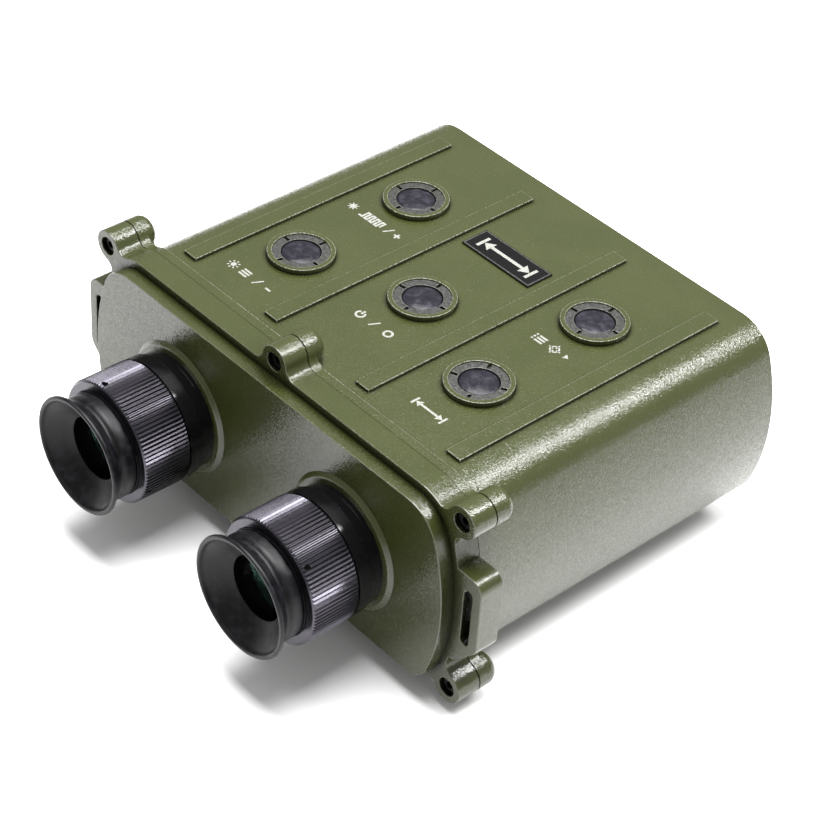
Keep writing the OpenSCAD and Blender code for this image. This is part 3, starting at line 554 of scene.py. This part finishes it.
def eyecup(side):
    """Bell-shaped rubber cup: a grip on the cell's nose, a waist and a thin round lip."""
    node = "eyecup_" + side
    low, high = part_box(node)
    centre = middle_of(node)
    centre.y = low.y
    lip = (high.x - low.x) / 2 / MM
    length = (high.y - low.y) / MM
    cell = (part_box("lens_cell_" + side)[1].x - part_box("lens_cell_" + side)[0].x) / 2 / MM
    nose = (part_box("lens_cell_" + side)[0].y - low.y) / MM
    grip_r = cell - 1.62
    eye_r = (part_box("eye_lens_" + side)[1].x - centre.x) / MM - 0.9
    outline = rounded([
        (grip_r, length, 0), (cell - 0.05, length, 0.5), (cell, length - 3.0, 1.2),
        (cell - 0.75, length - 4.2, 0.9), (cell - 0.35, 3.2, 1.4), (lip - 0.9, 1.7, 1.2),
        (lip, 1.0, 0.5), (lip - 0.1, 0, 0.6), (lip - 1.15, 0, 0.5), (lip - 1.6, 0.9, 0.8),
        (eye_r + 1.6, nose - 1.1, 1.2), (eye_r, nose - 0.05, 0), (grip_r, nose - 0.05, 0),
    ])
    mesh = turned(node + "_rubber", [p * MM for p in outline], centre, (0, 1, 0), 160, 0.05 * MM, 6 * MM)
    obj = shaded(piece(node + "_rubber", mesh, "eyecup_rubber", "eyepiece_" + side))
    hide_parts(node)


def button_dome(node):
    """Moulded rubber button: a low uneven dome, the lip below its ring and the plunger."""
    low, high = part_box(node)
    centre = middle_of(node)
    centre.z = low.z
    height = (high.z - low.z) / MM
    lip_r = (high.x - low.x) / 2 / MM
    lip_top = (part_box("button_rings")[0].z - low.z) / MM - 0.05
    lip_t = 0.65
    dome_r = 5.2
    plunger_r = 2.8
    outline = rounded([
        (0, 0, 0), (plunger_r, 0, 0.3), (plunger_r, lip_top - lip_t, 0), (lip_r, lip_top - lip_t, 0.1),
        (lip_r, lip_top, 0.1), (dome_r, lip_top, 0.15), (dome_r, height - 0.6, 0.6),
        (dome_r * 0.72, height - 0.16, 1.2), (dome_r * 0.45, height - 0.02, 1.0),
        (dome_r * 0.2, height - 0.08, 0.6), (0, height - 0.1, 0),
    ])
    mesh = turned(node + "_rubber", [p * MM for p in outline], centre, (0, 0, 1), 72, 0.14 * MM, 1.6 * MM)
    obj = shaded(piece(node + "_rubber", mesh, "button_rubber", node + "_cap"))
    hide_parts(node)


# ---- Printed marks ----

INK_T = 0.05 * MM
STROKE = 0.62
MARK_H = 2.9


def bar(x0, y0, x1, y1, width=STROKE):
    """Straight stroke between two points, as one outline."""
    a, b = Vector((x0, y0)), Vector((x1, y1))
    across = (b - a).normalized().orthogonal() * width / 2
    return [a - across, b - across, b + across, a + across]


def arc_stroke(x, y, radius, start=0, sweep=360, width=STROKE, steps=28):
    """Curved stroke, as one outline per step."""
    corners = []
    for k in range(steps + 1):
        a = math.radians(start + sweep * k / steps)
        ray = Vector((math.cos(a), math.sin(a)))
        corners.append((Vector((x, y)) + ray * (radius - width / 2), Vector((x, y)) + ray * (radius + width / 2)))
    return [[a[0], a[1], b[1], b[0]] for a, b in zip(corners, corners[1:])]


def star(x, y, inner, outer, points):
    ring = []
    for k in range(2 * points):
        a = math.pi * k / points
        radius = outer if k % 2 == 0 else inner
        ring.append(Vector((x + radius * math.cos(a), y + radius * math.sin(a))))
    return [ring]


def plus(x):
    h = 1.05
    w = STROKE / 2
    corner = [(w, w), (w, h), (-w, h), (-w, w), (-h, w), (-h, -w), (-w, -w), (-w, -h), (w, -h), (w, -w), (h, -w), (h, w)]
    return [[Vector((x + a, b)) for a, b in corner]]


def minus(x):
    return [bar(x - 0.95, 0, x + 0.95, 0)]


def slash(x):
    return [bar(x - 0.75, -MARK_H / 2, x + 0.75, MARK_H / 2, 0.45)]


def lamp(x):
    """Sun shape for a light."""
    rays = []
    for k in range(8):
        a = math.tau * k / 8
        c, s = math.cos(a), math.sin(a)
        rays.append(bar(x + 1.15 * c, 1.15 * s, x + 1.75 * c, 1.75 * s, 0.4))
    return star(x, 0, 0.78, 0.8, 10) + rays


def beam(x):
    """Three parallel rays."""
    return [bar(x - 1.5, y, x + 1.5, y) for y in (-1, 0, 1)]


def flash(x):
    """Spiky burst for a strobe."""
    return star(x, 0, 0.75, 1.8, 8)


def pulses(x, count):
    """Square wave with a number of pulses."""
    step = 0.95
    low = -MARK_H * 0.42
    high = MARK_H * 0.42
    strokes = []
    for k in range(count):
        left = x + (2 * k - count) * step
        half = STROKE / 2
        strokes.append(bar(left - half, low, left + step + half, low))
        strokes.append(bar(left + step, low + half, left + step, high - half))
        strokes.append(bar(left + step - half, high, left + 2 * step + half, high))
        strokes.append(bar(left + 2 * step, low + half, left + 2 * step, high - half))
    return strokes


def power(x):
    return arc_stroke(x, -0.15, 1.2, 125, 290) + [bar(x, 0.1, x, 1.6)]


def circle(x):
    return arc_stroke(x, 0, 1.15)


def menu(x):
    """Three short lines, each after a dot."""
    rows = []
    for y in (-1.05, 0, 1.05):
        rows.append(bar(x - 1.9, y, x - 1.35, y))
        rows.append(bar(x - 0.8, y, x + 1.9, y))
    return rows


def crosshair(x):
    ticks = [(1, 0), (0, 1), (-1, 0), (0, -1)]
    return arc_stroke(x, 0, 1.2, width=0.45) + [
        bar(x + 0.5 * c, 0.5 * s, x + 1.95 * c, 1.95 * s, 0.42) for c, s in ticks
    ]


def arrow(x, turn, size=1.0):
    """Arrowhead that points along X, or against it."""
    return [[Vector((x + turn * size * a, size * b)) for a, b in ((0.9, 0), (-0.5, 1), (-0.5, -1))]]


def span(x, half, size):
    """Distance sign: a double arrow between two stops."""
    stops = [bar(x + turn * half, -1.25 * size, x + turn * half, 1.25 * size, 0.5 * size) for turn in (-1, 1)]
    tip = half - 1.2 * size
    shaft = tip - 0.5 * size
    heads = arrow(x - tip, -1, size) + arrow(x + tip, 1, size)
    return stops + heads + [bar(x - shaft, 0, x + shaft, 0, 0.55 * size)]


def printed(name, shapes, place, finish):
    """Ink shapes, given in millimetres about place, as thin closed solids on a flat top."""
    mesh = bpy.data.meshes.new(name)
    bm = bmesh.new()
    for shape in shapes:
        corners = [bm.verts.new(place + Vector((p.x, p.y, 0)) * MM) for p in shape]
        face = bm.faces.new(corners)
        top = bmesh.ops.extrude_face_region(bm, geom=[face])["geom"]
        for part in top:
            if isinstance(part, bmesh.types.BMVert):
                part.co.z += INK_T
    bmesh.ops.remove_doubles(bm, verts=bm.verts, dist=0.002 * MM)
    bmesh.ops.recalc_face_normals(bm, faces=bm.faces)
    bm.to_mesh(mesh)
    bm.free()
    return piece(name, mesh, finish, "casing")


def legends():
    """A generic sign behind each button, on the housing's flat top."""
    ink = white_ink()
    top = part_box("nameplate")[0].z
    signs = {
        "button_front_left": (14.7, flash(-8.6) + pulses(-0.9, 4) + slash(5.7) + plus(8.9)),
        "button_rear_left": (16.5, lamp(-7.2) + beam(-2.4) + slash(2.6) + minus(6.6)),
        "button_centre": (16.1, power(-5.2) + slash(0) + circle(5.2)),
        "button_front_right": (15.3, menu(-4.2) + crosshair(1.2) + arrow(5.2, 1)),
        "button_rear_right": (16.3, span(0, 5, 1.2)),
    }
    for node, (gap, shapes) in signs.items():
        place = middle_of(node)
        place.y -= gap * MM
        place.z = top
        printed(node.replace("button", "sign"), shapes, place, ink)


def nameplate_print():
    """Pale border and a plain distance sign on the blank nameplate."""
    low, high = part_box("nameplate")
    place = middle_of("nameplate")
    place.z = high.z
    w = (high.x - low.x) / 2 / MM - 0.45
    h = (high.y - low.y) / 2 / MM - 0.45
    border = [bar(-w, y, w, y, 0.3) for y in (-h, h)] + [bar(x, -h, x, h, 0.3) for x in (-w, w)]
    printed("nameplate_border", border, place, "grey_metal")
    printed("nameplate_sign", span(0, 9, 1.9), place, white_ink())


# ---- Threads ----


def socket_thread():
    """Helical ridge of the 1/4 inch tripod thread, 1.27 mm a turn."""
    low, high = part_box("tripod_insert")
    pitch = 1.27
    wall_r = 3.2
    crest_r = 2.65
    turns = 5
    per_turn = 48
    section = [(wall_r, -0.5), (crest_r, -0.1), (crest_r, 0.1), (wall_r, 0.5)]
    mesh = bpy.data.meshes.new("socket_thread")
    bm = bmesh.new()
    rows = []
    for k in range(turns * per_turn + 1):
        a = math.tau * k / per_turn
        z = low.z / MM + 0.6 + pitch * k / per_turn
        rows.append([bm.verts.new(Vector((r * math.cos(a), r * math.sin(a), z + dz)) * MM) for r, dz in section])
    for a, b in zip(rows, rows[1:]):
        for k in range(len(section)):
            n = (k + 1) % len(section)
            bm.faces.new([a[k], a[n], b[n], b[k]])
    bm.faces.new(rows[0])
    bm.faces.new(rows[-1])
    bmesh.ops.recalc_face_normals(bm, faces=bm.faces)
    bm.to_mesh(mesh)
    bm.free()
    shaded(piece("socket_thread", mesh, "plain_steel", "casing"))


for side in ("left", "right"):
    eyecup(side)
for name in nodes:
    if name.startswith("button_") and name != "button_rings":
        button_dome(name)
legends()
nameplate_print()
socket_thread()

# ---- Set ----


def floor():
    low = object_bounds()[0].z
    half = 3.0
    mesh = bpy.data.meshes.new("floor")
    corners = [(-half, -half, low), (half, -half, low), (half, half, low), (-half, half, low)]
    mesh.from_pydata(corners, [], [(0, 1, 2, 3)])
    obj = bpy.data.objects.new("floor", mesh)
    mesh.materials.append(pale_floor())
    bpy.context.scene.collection.objects.link(obj)
    obj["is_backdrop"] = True


def softbox(name, target, bearing, height, distance, size, power):
    """Rectangular area light that looks at target from a bearing and height in degrees."""
    light = bpy.data.lights.new(name, "AREA")
    light.shape = "RECTANGLE"
    light.size, light.size_y = size
    light.energy = power
    obj = bpy.data.objects.new(name, light)
    a, e = math.radians(bearing), math.radians(height)
    away = Vector((math.cos(a) * math.cos(e), math.sin(a) * math.cos(e), math.sin(e)))
    obj.location = target + away * distance
    obj.rotation_mode = "QUATERNION"
    obj.rotation_quaternion = away.to_track_quat("Z", "Y")
    bpy.context.scene.collection.objects.link(obj)


def studio():
    """Dim surroundings, a softbox overhead, and a strip ahead that the right edge mirrors."""
    world = bpy.data.worlds.new("studio")
    bpy.context.scene.world = world
    world.use_nodes = True
    tree = world.node_tree
    back = tree.nodes["Background"]
    place = tree.nodes.new("ShaderNodeTexCoord")
    dot = tree.nodes.new("ShaderNodeVectorMath")
    dot.operation = "DOT_PRODUCT"
    dot.inputs[1].default_value = Vector((0.2, 0.2, 1)).normalized()
    tree.links.new(place.outputs["Generated"], dot.inputs[0])
    ramp = tree.nodes.new("ShaderNodeMapRange")
    ramp.interpolation_type = "SMOOTHSTEP"
    ramp.inputs["From Min"].default_value = -0.2
    ramp.inputs["From Max"].default_value = 0.9
    ramp.inputs["To Min"].default_value = 0.35
    ramp.inputs["To Max"].default_value = 0.8
    tree.links.new(dot.outputs["Value"], ramp.inputs["Value"])
    tree.links.new(ramp.outputs[0], back.inputs["Strength"])
    back.inputs["Color"].default_value = (1, 1, 1, 1)
    middle = Vector((0, 0, 0.03))
    softbox("overhead", middle, 90, 90, 0.65, (0.5, 0.45), 14.5)
    softbox("strip", middle, 57, 50, 0.9, (0.16, 0.3), 6.5)


def camera():
    """Long lens from above, behind and to the right, rolled a little."""
    target = Vector((29.84, -38.80, 55.0)) * MM
    bearing, height, roll = (math.radians(a) for a in (46.011, 39.108, 4.066))
    distance = 592.7 * MM
    back = Vector((
        math.sin(bearing) * math.cos(height),
        -math.cos(bearing) * math.cos(height),
        math.sin(height),
    ))
    right = Vector((math.cos(bearing), math.sin(bearing), 0))
    up = back.cross(right)
    across = math.cos(roll) * right + math.sin(roll) * up
    upward = math.cos(roll) * up - math.sin(roll) * right
    data = bpy.data.cameras.new("camera")
    data.sensor_width = 36
    data.lens = 109.25
    data.shift_x = 0.0108
    data.shift_y = 0.0012
    data.clip_start = 0.01
    data.clip_end = 20
    obj = bpy.data.objects.new("camera", data)
    turn = Matrix((across, upward, back)).transposed()
    obj.matrix_world = Matrix.Translation(target + back * distance) @ turn.to_4x4()
    bpy.context.scene.collection.objects.link(obj)
    bpy.context.scene.camera = obj


floor()
studio()
camera()
bpy.context.scene.view_settings.view_transform = "Standard"
